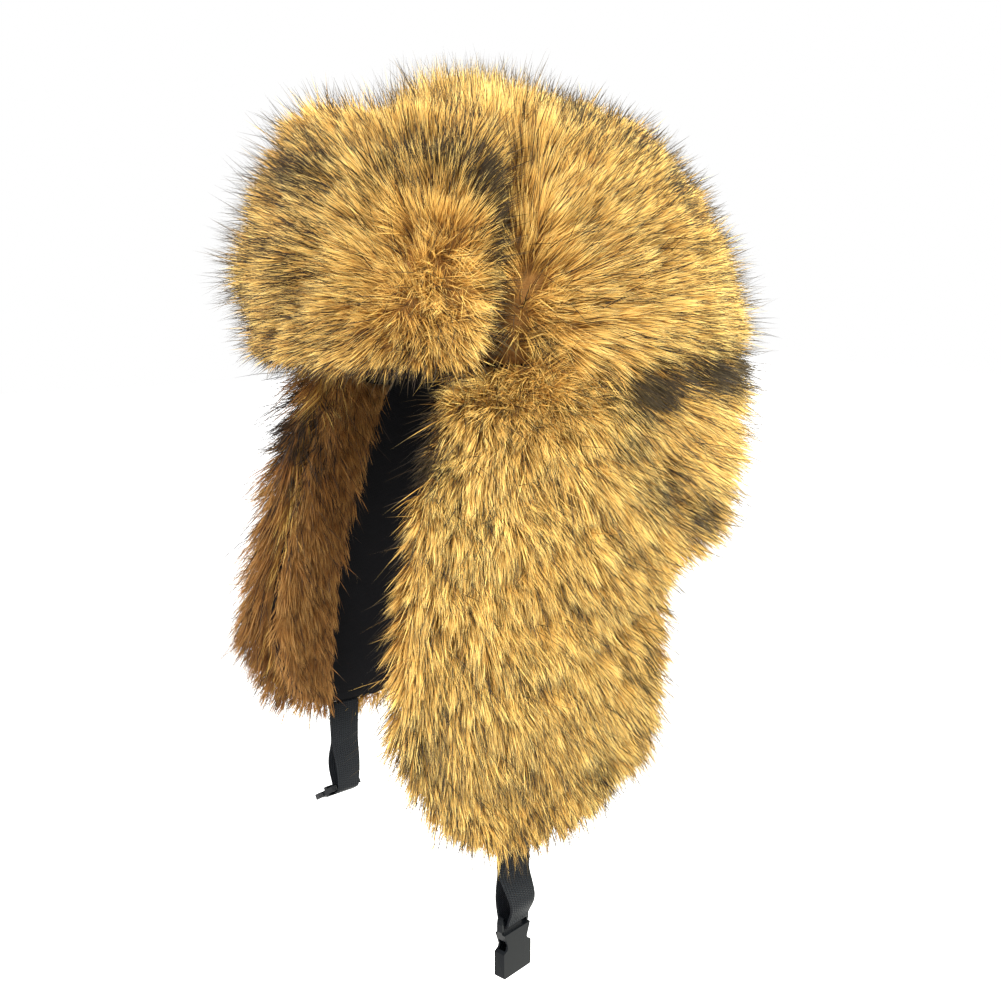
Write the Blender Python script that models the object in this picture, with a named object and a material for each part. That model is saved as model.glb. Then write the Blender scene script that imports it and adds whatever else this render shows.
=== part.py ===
"""Fur trapper hat with a turned-up front flap, two ear flaps, a neck flap and a buckle on webbing straps.

Metres, +Z up, the front towards -Y and the wearer's left towards +X. The origin is the middle of the
head opening, in the plane of the brow. Angles run round the head from the front: 0 is the front,
90 the wearer's left, 180 the back.
"""

import math
import random

import bmesh
import bpy
from mathutils import Matrix, Vector

# Head opening and dome
HEAD_HALF_WIDTH = 0.080
HEAD_HALF_LENGTH = 0.100
HEAD_HEIGHT = 0.115
DOME_POWER = 2.35
SHELL_WALL = 0.003
GAP = 0.0004

# Fur
FUR_BED = 0.014
THIN_FUR = 0.004
LOCK_LENGTH = 0.016
LOCK_RISE = 0.80
LOCK_LEAN = 0.62
LOCK_VARIATION = 0.14
EDGE_SPREAD = 0.009
EDGE_LOW_SHARE = 0.12
EDGE_HIGH_SHARE = 0.80
EDGE_TOP_SPREAD = 0.55
EDGE_LOCK_SHARE = 0.8
FUR_SEED = 11

# Combing: the whorls that the fur fans out from, and its extra rise or fall
CROWN_RISE = 0.55
CROWN_FALL = 1.3
CROWN_TURNS_FROM = -0.03
CROWN_TURNS_TO = 0.11
FRONT_WHORL = (0.085, -0.095, 0.030)
FRONT_RISE = 0.010
EAR_WHORL = (0.110, -0.045, -0.010)
EAR_FALL = 0.060
NECK_COMB = (0.0, 0.35, -1.0)

# Crown: angles of the columns over the front flap's place, then round the back
WINDOW_COLUMNS = 16
WINDOW_STEP = 7.4
WINDOW_WALL = 2.0
BACK_COLUMNS = 36
CROWN_RISES = (0.0, 8.0, 16.0, 25.0, 34.0, 42.0, 50.0, 52.0, 60.0, 68.0)
CROWN_TOP_RISES = (76.0, 84.0)
WINDOW_TOP_RISE = 50.0

# Front flap
FRONT_FLAP_RISES = (1.2, 8.0, 16.0, 25.0, 34.0, 42.0)
FRONT_FLAP_COLUMNS = 12
FRONT_FLAP_ANGLE = WINDOW_STEP * FRONT_FLAP_COLUMNS / 2
FRONT_FLAP_HANG = 0.007
HANG_HALF_WIDTH = 0.045
HANG_END_HALF_WIDTH = 0.060
FRONT_FUR_BED = 0.040
FRONT_END_BED = 0.030
FRONT_LOCK = 0.019
FRONT_SPREAD = 0.013

# Ear flaps and neck flap
EAR_FRONT_ANGLE = 46.0
SEAM_ANGLE = 96.8
SEAM_HALF = 0.3
SEAM_CLEAR = 0.0008
SEAM_FREE_BELOW = 0.022
SEAM_FREE_SLOPE = 3.0
EAR_EDGE_DROP = 0.165
EAR_MIDDLE_DROP = 0.226
EAR_UNDER_FRONT = 0.010
EAR_UNDER_FROM = 0.060
EAR_UNDER_TO = 0.095
EAR_COLUMNS = 7
EAR_ROWS = 13
NECK_DROP = 0.112
NECK_TUCK = 0.010
NECK_COLUMNS = 16
NECK_ROWS = 7
BACK_SWELL_FROM = 0.010
BACK_SWELL_TO = 0.030
FRONT_SWELL_SHARE = 0.12
TRIM_COLUMNS = 2
TRIM_FIRST_ROW = 1
TRIM_BED = 0.008
TRIM_LOCK = 0.012

# How far each level of an ear flap lies forward of the rim's oval, and out from it
EAR_LEVELS = (
    # depth, front edge forward, back edge forward, front edge out, back edge out
    (0.000, 0.000, 0.000, 0.000, 0.000),
    (0.050, 0.026, 0.000, 0.012, 0.001),
    (0.112, 0.045, 0.000, 0.024, 0.004),
    (0.155, 0.052, 0.004, 0.031, 0.008),
    (0.226, 0.052, 0.016, 0.036, 0.015),
)

# Webbing
WEBBING = 0.0013
STRAP_TOP_WIDTH = 0.020
STRAP_END_WIDTH = 0.0165
STRAP_BULGE = 0.0038
BACK_BULGE_SHARE = 0.4
STRAP_SHARE = 0.44
STRAP_INSET = 0.0010
STRAP_HIDDEN = 0.026
LEFT_STRAP = 0.052
RIGHT_STRAP = 0.058
LEFT_TURN = 17.0
RIGHT_TURN = 10.0
RIGHT_BUCKLE_SWING = 58.0

# Buckle
BUCKLE_WIDTH = 0.0212
BUCKLE_THICK = 0.0066
BAR_HALF = 0.0014
BAR_SPAN = 0.0175
WEBBING_SLOT = 0.0040
SOCKET_WALL = 0.0012
SOCKET_SIDE_WALL = 0.0018
MOUTH_TOP = -0.0096
MOUTH_REACH = 0.010
FRAME_EXTRA = 0.0003
CUTTER_REACH = 0.010
CUTTER_HALF_WIDTH = 0.015
LOOP_RADIUS = 0.0030

SOCKET_OUTLINE = (
    # half width, height above the bar's middle
    (0.0090, 0.0034),
    (0.0102, 0.0026),
    (0.0106, 0.0000),
    (0.0106, -0.0040),
    (0.0085, -0.0098),
    (0.0076, -0.0125),
    (0.0080, -0.0142),
    (0.0106, -0.0156),
    (0.0106, -0.0288),
    (0.0100, -0.0296),
)
PRONG_BASE_OUTLINE = (
    (0.0090, 0.0034),
    (0.0102, 0.0026),
    (0.0106, 0.0000),
    (0.0106, -0.0094),
    (0.0098, -0.0102),
)
PRONG_ROOT = -0.0090
PRONG_OUTLINE = (
    # distance from the middle, height above the bar's middle
    (0.0048, PRONG_ROOT),
    (0.0072, PRONG_ROOT),
    (0.0074, -0.0185),
    (0.0094, -0.0202),
    (0.0088, -0.0262),
    (0.0070, -0.0294),
    (0.0054, -0.0284),
    (0.0050, -0.0185),
)
GUIDE_HALF_WIDTH = 0.0014
GUIDE_END = -0.0300
PRONG_THICK = 0.0036


def clear_scene():
    for item in list(bpy.data.objects):
        bpy.data.objects.remove(item)


def principled(name, colour, roughness, metallic=0.0):
    material = bpy.data.materials.new(name)
    material.use_nodes = True
    shader = material.node_tree.nodes["Principled BSDF"]
    shader.inputs["Base Color"].default_value = (*colour, 1.0)
    shader.inputs["Roughness"].default_value = roughness
    shader.inputs["Metallic"].default_value = metallic
    material.diffuse_color = (*colour, 1.0)
    return material


def mix(a, b, share):
    return a + (b - a) * share


def ease(low, high, value):
    share = min(max((value - low) / (high - low), 0.0), 1.0)
    return share * share * (3.0 - 2.0 * share)


def along(table, depth, column):
    """One column of a table of levels at a depth, with an eased slope between its rows."""
    last = len(table) - 1
    row = next((i for i in range(last) if depth <= table[i + 1][0]), last - 1)
    before, low, high, after = (table[min(max(row + k, 0), last)] for k in (-1, 0, 1, 2))
    span = high[0] - low[0]
    share = min((depth - low[0]) / span, 1.3)
    slope_low = (high[column] - before[column]) / (high[0] - before[0]) * span
    slope_high = (after[column] - low[column]) / (after[0] - low[0]) * span
    square = share * share
    cube = square * share
    value = (2 * cube - 3 * square + 1) * low[column] + (3 * square - 2 * cube) * high[column]
    value += (cube - 2 * square + share) * slope_low + (cube - square) * slope_high
    return max(value, 0.0)


def dome_point(angle, rise, grow):
    """A point of the dome, grown outwards from the head's own surface."""
    turn = math.radians(angle)
    tilt = math.radians(rise)
    level = max(math.cos(tilt), 0.0) ** (2 / DOME_POWER)
    height = math.sin(tilt) ** (2 / DOME_POWER)
    return Vector((
        (HEAD_HALF_WIDTH + grow) * level * math.sin(turn),
        -(HEAD_HALF_LENGTH + grow) * level * math.cos(turn),
        max((HEAD_HEIGHT + grow) * height, GAP / 2),
    ))


def ear_drop(across):
    return mix(EAR_EDGE_DROP, EAR_MIDDLE_DROP, max(1 - abs(2 * across - 1) ** 3, 0.0) ** 0.7)


def ear_point(across, down, height, side=1.0):
    """A point over the left ear flap's cloth: across from its front edge to its back edge, down from the rim."""
    angle = math.radians(mix(EAR_FRONT_ANGLE, SEAM_ANGLE - SEAM_HALF, across))
    depth = GAP / 2 + down * (ear_drop(across) - GAP / 2)
    forward = mix(along(EAR_LEVELS, depth, 1), along(EAR_LEVELS, depth, 2), across)
    out = mix(along(EAR_LEVELS, depth, 3), along(EAR_LEVELS, depth, 4), across)
    grow = SHELL_WALL + height
    return Vector((
        side * ((HEAD_HALF_WIDTH + grow) * math.sin(angle) + out),
        -(HEAD_HALF_LENGTH + grow) * math.cos(angle) - forward,
        -depth,
    ))


def neck_point(across, down, height):
    """A point over the neck flap's cloth, from the left seam round the back to the right seam."""
    first = SEAM_ANGLE + SEAM_HALF
    angle = math.radians(mix(first, 360 - first, across))
    depth = GAP / 2 + down * (NECK_DROP - GAP / 2)
    seam = abs(2 * across - 1) ** 3
    out = seam * along(EAR_LEVELS, depth, 4)
    grow = SHELL_WALL + height - (1 - seam) * NECK_TUCK * down * down
    return Vector((
        (HEAD_HALF_WIDTH + grow) * math.sin(angle) + math.copysign(out, math.sin(angle)),
        -(HEAD_HALF_LENGTH + grow) * math.cos(angle),
        -depth,
    ))


def front_flap_standoff():
    return SHELL_WALL + GAP + THIN_FUR + GAP


def front_flap_point(angle, rise, height):
    """A point over the front flap's cloth, which stands in front of the dome."""
    return dome_point(angle, rise, front_flap_standoff() + SHELL_WALL + height)


def seam_offset(point):
    """How far a point lies behind the seam between ear flap and neck flap."""
    depth = min(max(-point.z, 0.0), NECK_DROP)
    turn = math.radians(SEAM_ANGLE)
    reach = abs(point.x) - along(EAR_LEVELS, depth, 4) - HEAD_HALF_WIDTH * math.sin(turn)
    return point.y + (HEAD_HALF_LENGTH + reach / math.sin(turn)) * math.cos(turn)


def finish(mesh, name, material):
    """Turns a bmesh into an object whose faces point outwards."""
    bmesh.ops.recalc_face_normals(mesh, faces=mesh.faces)
    bmesh.ops.triangulate(mesh, faces=mesh.faces)
    data = bpy.data.meshes.new(name)
    mesh.to_mesh(data)
    mesh.free()
    data.materials.append(material)
    item = bpy.data.objects.new(name, data)
    bpy.context.scene.collection.objects.link(item)
    return item


def raise_lock(mesh, face, comb, length, keep, chance):
    """Pulls one face out into a lock of fur that leans the way the fur is combed."""
    centre = face.calc_center_median()
    normal = face.normal.copy()
    flow = comb(centre)
    flow -= normal * flow.dot(normal)
    if flow.length > 1e-6:
        flow.normalize()
    size = length * chance.uniform(1 - LOCK_VARIATION, 1 + LOCK_VARIATION)
    tip = centre + normal * (LOCK_RISE * size) + flow * (LOCK_LEAN * size)
    middle = bmesh.ops.poke(mesh, faces=[face])["verts"][0]
    middle.co = keep(tip)


def crown_angles():
    """Angles of the crown's columns: over the front flap's place, then round the back."""
    edge = WINDOW_STEP * WINDOW_COLUMNS / 2
    front = [WINDOW_STEP * k - edge for k in range(WINDOW_COLUMNS + 1)]
    first = edge + WINDOW_WALL
    step = (360 - 2 * first) / BACK_COLUMNS
    return front + [first + step * k for k in range(BACK_COLUMNS + 1)]


def in_window(angle, rise):
    edge = WINDOW_STEP * WINDOW_COLUMNS / 2
    wrapped = (angle + 180) % 360 - 180
    return abs(wrapped) <= edge + 0.01 and rise <= WINDOW_TOP_RISE + 0.01


def dome_rings(mesh, angles, grow):
    """Rings of vertices from the rim to near the top, each upper ring with fewer columns, and the top vertex."""
    rings = []
    for rise in CROWN_RISES:
        rings.append([mesh.verts.new(dome_point(a, rise, grow(a, rise))) for a in angles])
    for level, rise in enumerate(CROWN_TOP_RISES):
        kept = angles[:: 2 * 3**level]
        rings.append([mesh.verts.new(dome_point(a, rise, grow(a, rise))) for a in kept])
    top = mesh.verts.new(dome_point(0.0, 90.0, grow(180.0, 90.0)))
    return rings, top


def bridge_rings(mesh, lower, upper):
    """Faces between two rings, where the upper one may hold every second or third column."""
    faces = []
    ratio = len(lower) // len(upper)
    for k in range(len(upper)):
        base = [lower[(ratio * k + j) % len(lower)] for j in range(ratio + 1)]
        faces.append(mesh.faces.new(base + [upper[(k + 1) % len(upper)], upper[k]]))
    return faces


def close_dome(mesh, rings, top):
    """Faces of a whole dome, listed ring by ring."""
    strips = [bridge_rings(mesh, low, high) for low, high in zip(rings, rings[1:])]
    last = rings[-1]
    strips.append([mesh.faces.new((last[k], last[(k + 1) % len(last)], top)) for k in range(len(last))])
    return strips


def crown_shell(material):
    mesh = bmesh.new()
    angles = crown_angles()
    outer, outer_top = dome_rings(mesh, angles, lambda a, r: SHELL_WALL)
    inner, inner_top = dome_rings(mesh, angles, lambda a, r: 0.0)
    close_dome(mesh, outer, outer_top)
    close_dome(mesh, inner, inner_top)
    bridge_rings(mesh, outer[0], inner[0])
    return finish(mesh, "crown_shell", material)


def crown_comb(point):
    """Fur of the crown runs up and back from the temples and down at the back."""
    return Vector((0.0, 1.0, CROWN_RISE - CROWN_FALL * ease(CROWN_TURNS_FROM, CROWN_TURNS_TO, point.y)))


def above_rim(point):
    return Vector((point.x, point.y, max(point.z, GAP)))


def crown_fur(material, chance):
    mesh = bmesh.new()
    angles = crown_angles()
    bed = SHELL_WALL + GAP

    def depth(angle, rise):
        return bed + (THIN_FUR if in_window(angle, rise) else FUR_BED)

    inner, inner_top = dome_rings(mesh, angles, lambda a, r: bed)
    outer, outer_top = dome_rings(mesh, angles, depth)
    close_dome(mesh, inner, inner_top)
    strips = close_dome(mesh, outer, outer_top)
    bridge_rings(mesh, inner[0], outer[0])
    mesh.normal_update()
    first = WINDOW_COLUMNS + 1
    window_rows = CROWN_RISES.index(WINDOW_TOP_RISE) + 1
    for row, strip in enumerate(strips):
        for column, face in enumerate(strip):
            covered = row < window_rows and (column < first or column == len(strip) - 1)
            if covered or len(face.verts) > 7:
                continue
            raise_outward(mesh, face, crown_comb, LOCK_LENGTH, above_rim, chance)
    return finish(mesh, "crown_fur", material)


def raise_outward(mesh, face, comb, length, keep, chance):
    """Raises a lock on a face after turning it to look away from the middle of the head."""
    centre = face.calc_center_median()
    away = centre - Vector((0.0, 0.0, min(centre.z, 0.03)))
    if face.normal.dot(away) < 0:
        face.normal_flip()
    raise_lock(mesh, face, comb, length, keep, chance)


def sheet(mesh, place, across, down):
    """A grid of vertices, one row for each value in down."""
    return [[mesh.verts.new(place(a, d)) for a in across] for d in down]


def grid_faces(mesh, grid):
    return [
        mesh.faces.new((low[k], low[k + 1], high[k + 1], high[k]))
        for low, high in zip(grid, grid[1:])
        for k in range(len(low) - 1)
    ]


def border(columns, rows):
    """Row and column of each border vertex of a grid, in order round it."""
    top = [(0, c) for c in range(columns)]
    right = [(r, columns - 1) for r in range(1, rows)]
    bottom = [(rows - 1, c) for c in range(columns - 2, -1, -1)]
    left = [(r, 0) for r in range(rows - 2, 0, -1)]
    return top + right + bottom + left


def loop_faces(mesh, first, second):
    count = len(first)
    return [
        mesh.faces.new((first[k], first[(k + 1) % count], second[(k + 1) % count], second[k]))
        for k in range(count)
    ]


def cloth(name, place, across, down, material):
    """A cloth sheet as thick as the shell wall, whose outer face is place(a, d, 0)."""
    mesh = bmesh.new()
    outer = sheet(mesh, lambda a, d: place(a, d, 0.0), across, down)
    inner = sheet(mesh, lambda a, d: place(a, d, -SHELL_WALL), across, down)
    grid_faces(mesh, outer)
    grid_faces(mesh, inner)
    ring = border(len(across), len(down))
    loop_faces(mesh, [outer[r][c] for r, c in ring], [inner[r][c] for r, c in ring])
    return finish(mesh, name, material)


def outward_at(grid, row, column, free_sides):
    """Direction out of a grid's free edges, in the plane of the sheet."""
    here = grid[row][column]
    total = Vector()
    if column == 0 and "front" in free_sides:
        total += (here - grid[row][1]).normalized()
    if column == len(grid[row]) - 1 and "back" in free_sides:
        total += (here - grid[row][column - 1]).normalized()
    if row == 0 and "first" in free_sides:
        total += (here - grid[1][column]).normalized()
    if row == len(grid) - 1 and "last" in free_sides:
        total += (here - grid[row - 1][column]).normalized()
    return total.normalized() if total.length > 0 else total


def pelt(name, place, across, down, free_sides, spread, comb, keep, bed, lock, sign, material, chance):
    """Fur over a sheet: a bed that swells past the sheet's free edges, with a lock on each face.

    place(a, d, h) is the point at height h over the sheet. free_sides names the edges that the fur
    swells past, and spread(a, d) is how far, 0 where the edge is sewn. bed(a, d) is the bed's
    thickness, and sign is -1 for fur on the inner side.
    """
    base = GAP * sign
    floor = [[place(a, d, base) for a in across] for d in down]
    ring = border(len(across), len(down))
    mesh = bmesh.new()
    under = [[mesh.verts.new(point) for point in row] for row in floor]
    over = sheet(mesh, lambda a, d: place(a, d, base + bed(a, d) * sign), across, down)
    middle = []
    for r, c in ring:
        free = spread(across[c], down[r])
        out = outward_at(floor, r, c, free_sides) * free
        thick = bed(across[c], down[r])
        rise = mix(1.0, EDGE_HIGH_SHARE, min(free / EDGE_SPREAD, 1.0))
        low = place(across[c], down[r], base + EDGE_LOW_SHARE * thick * sign)
        high = place(across[c], down[r], base + rise * thick * sign)
        middle.append(mesh.verts.new(keep(low + out)))
        over[r][c].co = keep(high + out * EDGE_TOP_SPREAD)
    grid_faces(mesh, under)
    tops = grid_faces(mesh, over)
    loop_faces(mesh, [under[r][c] for r, c in ring], middle)
    edges = loop_faces(mesh, middle, [over[r][c] for r, c in ring])
    bmesh.ops.recalc_face_normals(mesh, faces=mesh.faces)
    mesh.normal_update()
    for face in tops:
        raise_lock(mesh, face, comb, lock, keep, chance)
    for k, face in enumerate(edges):
        (r, c), (r2, c2) = ring[k], ring[(k + 1) % len(ring)]
        free = min(spread(across[c], down[r]), spread(across[c2], down[r2]))
        if free > EDGE_SPREAD / 2:
            raise_lock(mesh, face, comb, lock * EDGE_LOCK_SHARE, keep, chance)
    return finish(mesh, name, material)


def steps(count, low=0.0, high=1.0):
    return [mix(low, high, k / count) for k in range(count + 1)]


def front_flap_comb(point):
    """Fur of the front flap fans out from a whorl near the wearer's left temple."""
    return point - Vector(FRONT_WHORL) + Vector((0.0, 0.0, FRONT_RISE))


def front_flap_keep(point):
    hang = FRONT_FLAP_HANG * (1 - ease(HANG_HALF_WIDTH, HANG_END_HALF_WIDTH, abs(point.x)))
    return Vector((point.x, point.y, max(point.z, GAP - hang)))


def front_flap_bed(angle, rise):
    return mix(FRONT_FUR_BED, FRONT_END_BED, abs(angle / FRONT_FLAP_ANGLE) ** 3)


def front_flap(fur, lining, chance):
    angles = steps(FRONT_FLAP_COLUMNS, -FRONT_FLAP_ANGLE, FRONT_FLAP_ANGLE)
    cloth("front_flap_shell", front_flap_point, angles, FRONT_FLAP_RISES, lining)
    pelt(
        "front_flap_fur", front_flap_point, angles, FRONT_FLAP_RISES, ("front", "back", "first", "last"),
        lambda a, d: FRONT_SPREAD,
        front_flap_comb, front_flap_keep, front_flap_bed, FRONT_LOCK, 1, fur, chance,
    )


def ear_comb(side):
    """Fur of an ear flap fans down from a whorl close to the temple."""
    whorl = Vector((side * EAR_WHORL[0], EAR_WHORL[1], EAR_WHORL[2]))

    def comb(point):
        return point - whorl - Vector((0.0, 0.0, EAR_FALL))

    return comb


def ear_keep(point):
    """Keeps an ear flap's fur below the rim and in front of the seam with the neck flap."""
    z = min(point.z, -GAP - EAR_UNDER_FRONT * ease(EAR_UNDER_FROM, EAR_UNDER_TO, -point.y))
    slack = SEAM_FREE_SLOPE * max(-z - NECK_DROP - SEAM_FREE_BELOW, 0.0)
    behind = max(seam_offset(Vector((point.x, point.y, z))) + SEAM_CLEAR - slack, 0.0)
    return Vector((point.x, point.y - behind, z))


def neck_keep(point):
    z = min(point.z, -GAP)
    before = max(SEAM_CLEAR - seam_offset(Vector((point.x, point.y, z))), 0.0)
    return Vector((point.x, point.y + before, z))


def ear_spread(across, down):
    """How far the fur swells past an ear flap's front, its bottom, and its back below the neck flap."""
    if down < 0.01:
        return 0.0
    if across > 0.99:
        return EDGE_SPREAD * ease(NECK_DROP + BACK_SWELL_FROM, NECK_DROP + BACK_SWELL_TO, down * ear_drop(across))
    return EDGE_SPREAD * ease(0.0, FRONT_SWELL_SHARE, down)


def ear_flap(name, side, fur, lining, chance):
    def place(across, down, height):
        return ear_point(across, down, height, side)

    across = steps(EAR_COLUMNS)
    down = steps(EAR_ROWS)
    cloth(name + "_shell", place, across, down, lining)
    pelt(
        name + "_fur", place, across, down, ("front", "back", "last"), ear_spread,
        ear_comb(side), ear_keep, lambda a, d: FUR_BED, LOCK_LENGTH, 1, fur, chance,
    )

    def inside(across_share, down_share, height):
        return place(across_share, down_share, height - SHELL_WALL)

    def trim_spread(across_share, down_share):
        return EDGE_SPREAD if across_share < 0.01 or down_share > 0.99 else 0.0

    trim_across = across[: TRIM_COLUMNS + 1]
    trim_down = down[TRIM_FIRST_ROW:]

    pelt(
        name + "_trim", inside, trim_across, trim_down, ("front", "last"), trim_spread,
        ear_comb(side), ear_keep, lambda a, d: TRIM_BED, TRIM_LOCK, -1, fur, chance,
    )


def neck_comb(point):
    return Vector(NECK_COMB)


def neck_flap(fur, lining, chance):
    across = steps(NECK_COLUMNS)
    down = steps(NECK_ROWS)
    cloth("neck_flap_shell", neck_point, across, down, lining)
    pelt(
        "neck_flap_fur", neck_point, across, down, ("last",), lambda a, d: EDGE_SPREAD if d > 0.99 else 0.0,
        neck_comb, neck_keep, lambda a, d: FUR_BED, LOCK_LENGTH, 1, fur, chance,
    )


def strap_frame(side):
    """Where a strap leaves its ear flap: the x axis across the webbing, y away from the head, z up."""
    top = ear_point(STRAP_SHARE, 1.0, -SHELL_WALL / 2 - STRAP_INSET, side) - Vector((0.0, 0.0, GAP))
    axes = Matrix(((0, side, 0, 0), (-side, 0, 0, 0), (0, 0, 1, 0), (0, 0, 0, 1)))
    return Matrix.Translation(top) @ axes


def turned(frame, length, turn):
    """The frame at the end of a strap that turns about its own length."""
    return frame @ Matrix.Translation((0.0, 0.0, -length)) @ Matrix.Rotation(math.radians(turn), 4, "Z")


def strap_path(length):
    """Middle line of the webbing's loop, seen from its edge: away from the head and height."""
    neck = WEBBING / 2 + GAP / 2
    heights = [-WEBBING, -STRAP_HIDDEN] + steps(6, -STRAP_HIDDEN, -length)[1:]

    def half(height, bulge):
        share = max((-height - STRAP_HIDDEN) / (length - STRAP_HIDDEN), 0.0)
        return mix(neck, LOOP_RADIUS, ease(0.0, 1.0, share)) + bulge * math.sin(math.pi * share) ** 2

    front = [(half(z, STRAP_BULGE), z) for z in heights]
    turns = [math.pi * k / 6 for k in range(1, 6)]
    under = [(LOOP_RADIUS * math.cos(t), -length - LOOP_RADIUS * math.sin(t)) for t in turns]
    back = [(-half(z, BACK_BULGE_SHARE * STRAP_BULGE), z) for z in reversed(heights)]
    return front + under + back + [(0.0, -WEBBING + neck)]


def strap(name, frame, length, turn, material):
    """A webbing loop of one closed band, narrower and turned where it passes round the buckle's bar."""
    mesh = bmesh.new()
    path = strap_path(length)
    count = len(path)
    rings = []
    for k, (out, height) in enumerate(path):
        before, after = path[k - 1], path[(k + 1) % count]
        tangent = Vector((after[0] - before[0], after[1] - before[1])).normalized()
        normal = Vector((-tangent.y, tangent.x)) * (WEBBING / 2)
        half = mix(STRAP_TOP_WIDTH, STRAP_END_WIDTH, ease(0.0, 1.0, -height / length)) / 2
        corners = ((half, 1), (-half, 1), (-half, -1), (half, -1))
        spin = Matrix.Rotation(math.radians(turn) * ease(STRAP_HIDDEN, length, -height), 3, "Z")
        rings.append([
            mesh.verts.new(spin @ Vector((wide, out + s * normal.x, height + s * normal.y))) for wide, s in corners
        ])
    for k in range(count):
        loop_faces(mesh, rings[k], rings[(k + 1) % count])
    item = finish(mesh, name, material)
    item.matrix_world = frame
    return item


def prism(name, outline, low, high, material=None):
    """A flat outline in the x and z directions, as thick as from low to high in y."""
    mesh = bmesh.new()
    back = [mesh.verts.new((x, low, z)) for x, z in outline]
    front = [mesh.verts.new((x, high, z)) for x, z in outline]
    mesh.faces.new(back)
    mesh.faces.new(front)
    loop_faces(mesh, back, front)
    bmesh.ops.recalc_face_normals(mesh, faces=mesh.faces)
    data = bpy.data.meshes.new(name)
    mesh.to_mesh(data)
    mesh.free()
    if material:
        data.materials.append(material)
    item = bpy.data.objects.new(name, data)
    bpy.context.scene.collection.objects.link(item)
    return item


def box_outline(half, low, high):
    return ((half, low), (half, high), (-half, high), (-half, low))


def mirrored(outline):
    """A whole outline from its right half, which runs from the top down."""
    return list(outline) + [(-x, z) for x, z in reversed(outline)]


def combine(target, other, operation):
    """Joins a helper to a solid or cuts it out of it, and leaves the helper as a guide."""
    other.hide_render = True
    other.display_type = "WIRE"
    other.parent = target
    change = target.modifiers.new(other.name, "BOOLEAN")
    change.operation = operation
    change.object = other
    change.solver = "EXACT"


def webbing_bar(target, name):
    """Cuts the recess above the bar and the slot below it, and thins the frame beside them."""
    half = BAR_SPAN / 2
    slot_low = -BAR_HALF - WEBBING_SLOT
    reach = CUTTER_REACH
    recess = prism(name + "_recess_cutter", box_outline(half, BAR_HALF, reach), -reach, reach)
    slot = prism(name + "_slot_cutter", box_outline(half, slot_low, -BAR_HALF), -reach, reach)
    frame_half = BAR_HALF + FRAME_EXTRA
    side = box_outline(CUTTER_HALF_WIDTH, slot_low, reach)
    front = prism(name + "_front_cutter", side, frame_half, reach)
    back = prism(name + "_back_cutter", side, -reach, -frame_half)
    for cutter in (recess, slot, front, back):
        combine(target, cutter, "DIFFERENCE")


def buckle_socket(frame, material):
    half = BUCKLE_THICK / 2
    body = prism("buckle_socket", mirrored(SOCKET_OUTLINE), -half, half, material)
    webbing_bar(body, "socket")
    mouth_half = BUCKLE_WIDTH / 2 - SOCKET_SIDE_WALL
    room = half - SOCKET_WALL
    bottom = SOCKET_OUTLINE[-1][1] - MOUTH_REACH
    mouth = prism("socket_mouth_cutter", box_outline(mouth_half, bottom, MOUTH_TOP), -room, room)
    combine(body, mouth, "DIFFERENCE")
    body.matrix_world = frame
    return body


def buckle_prongs(frame, material):
    half = BUCKLE_THICK / 2
    base = prism("buckle_prongs", mirrored(PRONG_BASE_OUTLINE), -half, half, material)
    webbing_bar(base, "prongs")
    thick = PRONG_THICK / 2
    right = prism("right_prong_guide", PRONG_OUTLINE, -thick, thick)
    left = prism("left_prong_guide", [(-x, z) for x, z in PRONG_OUTLINE], -thick, thick)
    middle = prism("middle_prong_guide", box_outline(GUIDE_HALF_WIDTH, GUIDE_END, PRONG_ROOT), -thick, thick)
    for piece in (right, left, middle):
        combine(base, piece, "UNION")
    base.matrix_world = frame
    return base


def main():
    clear_scene()
    chance = random.Random(FUR_SEED)
    fur = principled("long_fur", (0.52, 0.30, 0.09), 0.75)
    lining = principled("black_lining", (0.012, 0.012, 0.014), 0.85)
    webbing = principled("black_webbing", (0.015, 0.015, 0.017), 0.60)
    plastic = principled("black_plastic", (0.012, 0.012, 0.013), 0.38)
    crown_shell(lining)
    crown_fur(fur, chance)
    front_flap(fur, lining, chance)
    ear_flap("ear_flap_left", 1.0, fur, lining, chance)
    ear_flap("ear_flap_right", -1.0, fur, lining, chance)
    neck_flap(fur, lining, chance)
    left = strap_frame(1.0)
    right = strap_frame(-1.0)
    strap("strap_left", left, LEFT_STRAP, LEFT_TURN, webbing)
    strap("strap_right", right, RIGHT_STRAP, RIGHT_TURN, webbing)
    buckle_socket(turned(left, LEFT_STRAP, LEFT_TURN), plastic)
    swing = Matrix.Rotation(math.radians(RIGHT_BUCKLE_SWING), 4, "X")
    buckle_prongs(turned(right, RIGHT_STRAP, RIGHT_TURN) @ swing, plastic)
    bpy.context.view_layer.update()


main()
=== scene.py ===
"""Looks of a fur trapper hat: long tufted fur over an underfur, black lining, webbing and buckles.

Metres, +Z up, the front towards -Y and the wearer's left towards +X. Angles run round the head from
the front, in degrees.
"""

import math

import bpy
import numpy as np
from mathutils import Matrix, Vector
from mathutils.kdtree import KDTree


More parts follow.
